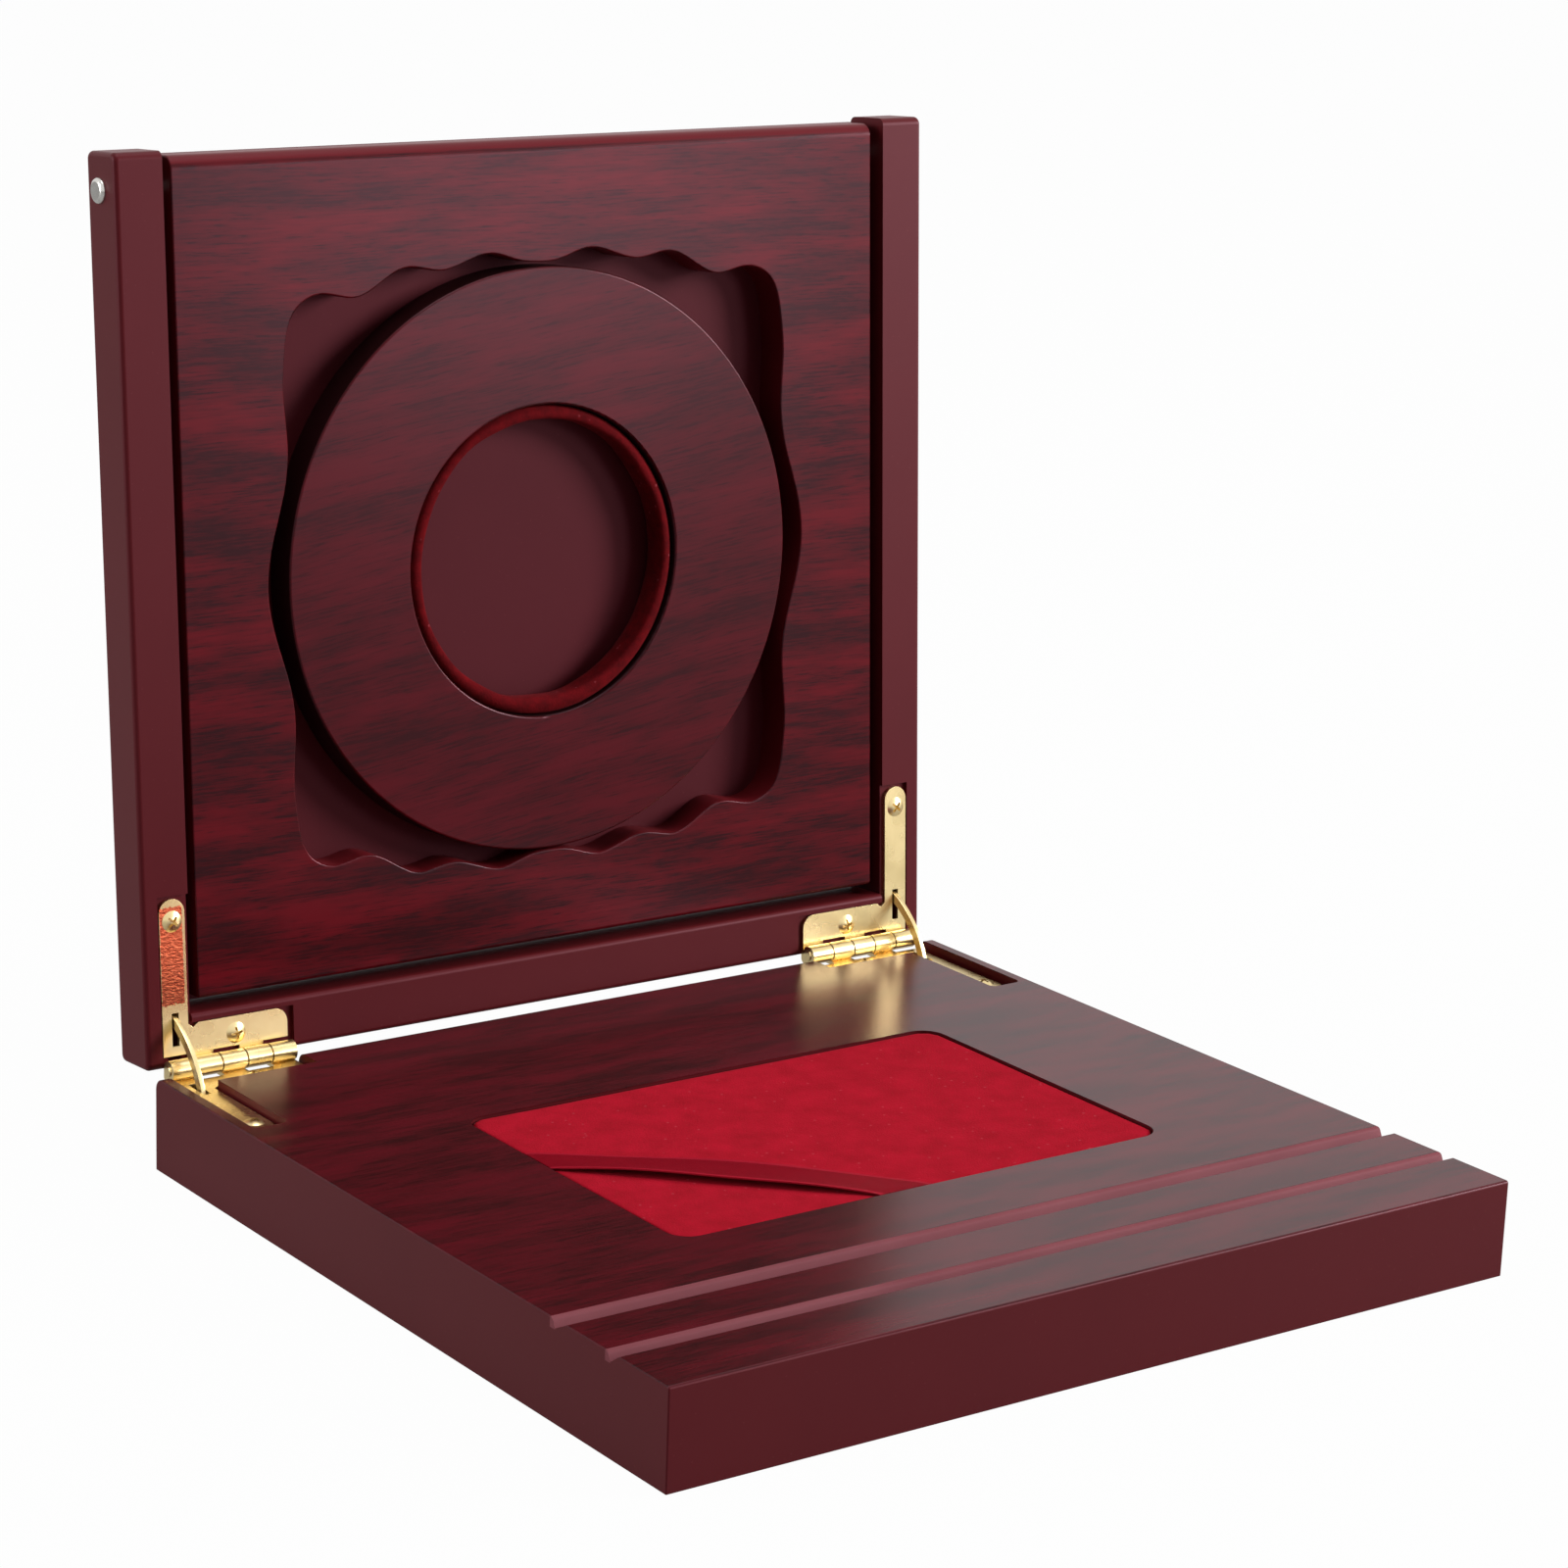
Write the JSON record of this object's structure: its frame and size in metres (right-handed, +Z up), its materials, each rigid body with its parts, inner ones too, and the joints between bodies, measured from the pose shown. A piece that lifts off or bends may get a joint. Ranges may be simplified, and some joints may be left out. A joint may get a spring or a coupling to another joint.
{
  "type": "coin display box",
  "caption": "Shallow painted box with a hinged open lid frame, a swinging panel that holds a coin ring in a wavy recess, and a lift-out velvet pad.",
  "frame": {"origin": "centre of the base's underside", "axes": "+Z up, -Y towards the front edge of the base, +X to the right seen from the front, with the lid standing open at the back"},
  "size_m": [0.202, 0.2137, 0.2064],
  "materials": {
    "grained_film": "satin",
    "maroon_paint": "satin",
    "ring_film": "satin",
    "card": "matte",
    "red_velvet": "matte",
    "deep_red_velvet": "matte",
    "satin_ribbon": "satin",
    "polished_brass": "polished",
    "steel": "polished"
  },
  "bodies": {
    "base": {"base_top_board": "grained_film", "base_front_rail": "maroon_paint", "base_back_rail": "maroon_paint", "base_left_rail": "maroon_paint", "base_right_rail": "maroon_paint", "base_bottom_board": "maroon_paint", "left_base_leaf": "polished_brass", "right_base_leaf": "polished_brass", "left_base_screws": "polished_brass", "right_base_screws": "polished_brass"},
    "lid": {"lid_left_stile": "maroon_paint", "lid_right_stile": "maroon_paint", "lid_bottom_rail": "maroon_paint", "left_lid_leaf": "polished_brass", "right_lid_leaf": "polished_brass", "left_lid_screws": "polished_brass", "right_lid_screws": "polished_brass", "left_pivot_pin": "steel", "right_pivot_pin": "steel"},
    "panel": {"panel_face_board": "grained_film", "panel_back_board": "maroon_paint", "coin_ring": "ring_film", "coin_collar": "deep_red_velvet"},
    "pad": {"pad_board": "card", "pad_velvet": "red_velvet", "pad_ribbon": "satin_ribbon"},
    "left_stay_arm": {"left_stay": "polished_brass"},
    "right_stay_arm": {"right_stay": "polished_brass"},
    "left_pin": {"left_hinge_pin": "polished_brass"},
    "right_pin": {"right_hinge_pin": "polished_brass"}
  },
  "joints": [
    {"name": "lid_hinge", "type": "hinge", "parent": "base", "child": "lid", "pos_m": [0, 0.0945, 0.02015], "axis": [-1, 0, 0], "range_deg": [-94.4, 0]},
    {"name": "panel_pivot", "type": "hinge", "parent": "lid", "child": "panel", "pos_m": [0, 0.11499, 0.19843], "axis": [-1, 0, 0], "range_deg": [0, 63]},
    {"name": "pad_lift", "type": "slide", "parent": "base", "child": "pad", "axis": [0, 0, 1], "range_m": [0, 0.0075]},
    {"name": "left_stay_turn", "type": "hinge", "parent": "base", "child": "left_stay_arm", "pos_m": [0, 0.0945, 0.02015], "axis": [-1, 0, 0], "range_deg": [-40, 0]},
    {"name": "right_stay_turn", "type": "hinge", "parent": "base", "child": "right_stay_arm", "pos_m": [0, 0.0945, 0.02015], "axis": [-1, 0, 0], "range_deg": [-40, 0]},
    {"name": "left_pin_turn", "type": "hinge", "parent": "base", "child": "left_pin", "pos_m": [0, 0.0945, 0.02015], "axis": [-1, 0, 0], "continuous": true},
    {"name": "right_pin_turn", "type": "hinge", "parent": "base", "child": "right_pin", "pos_m": [0, 0.0945, 0.02015], "axis": [-1, 0, 0], "continuous": true}
  ],
  "couplings": [
    {"joint": "left_stay_turn", "follows": "lid_hinge", "ratio": 0.42},
    {"joint": "right_stay_turn", "follows": "lid_hinge", "ratio": 0.42}
  ]
}
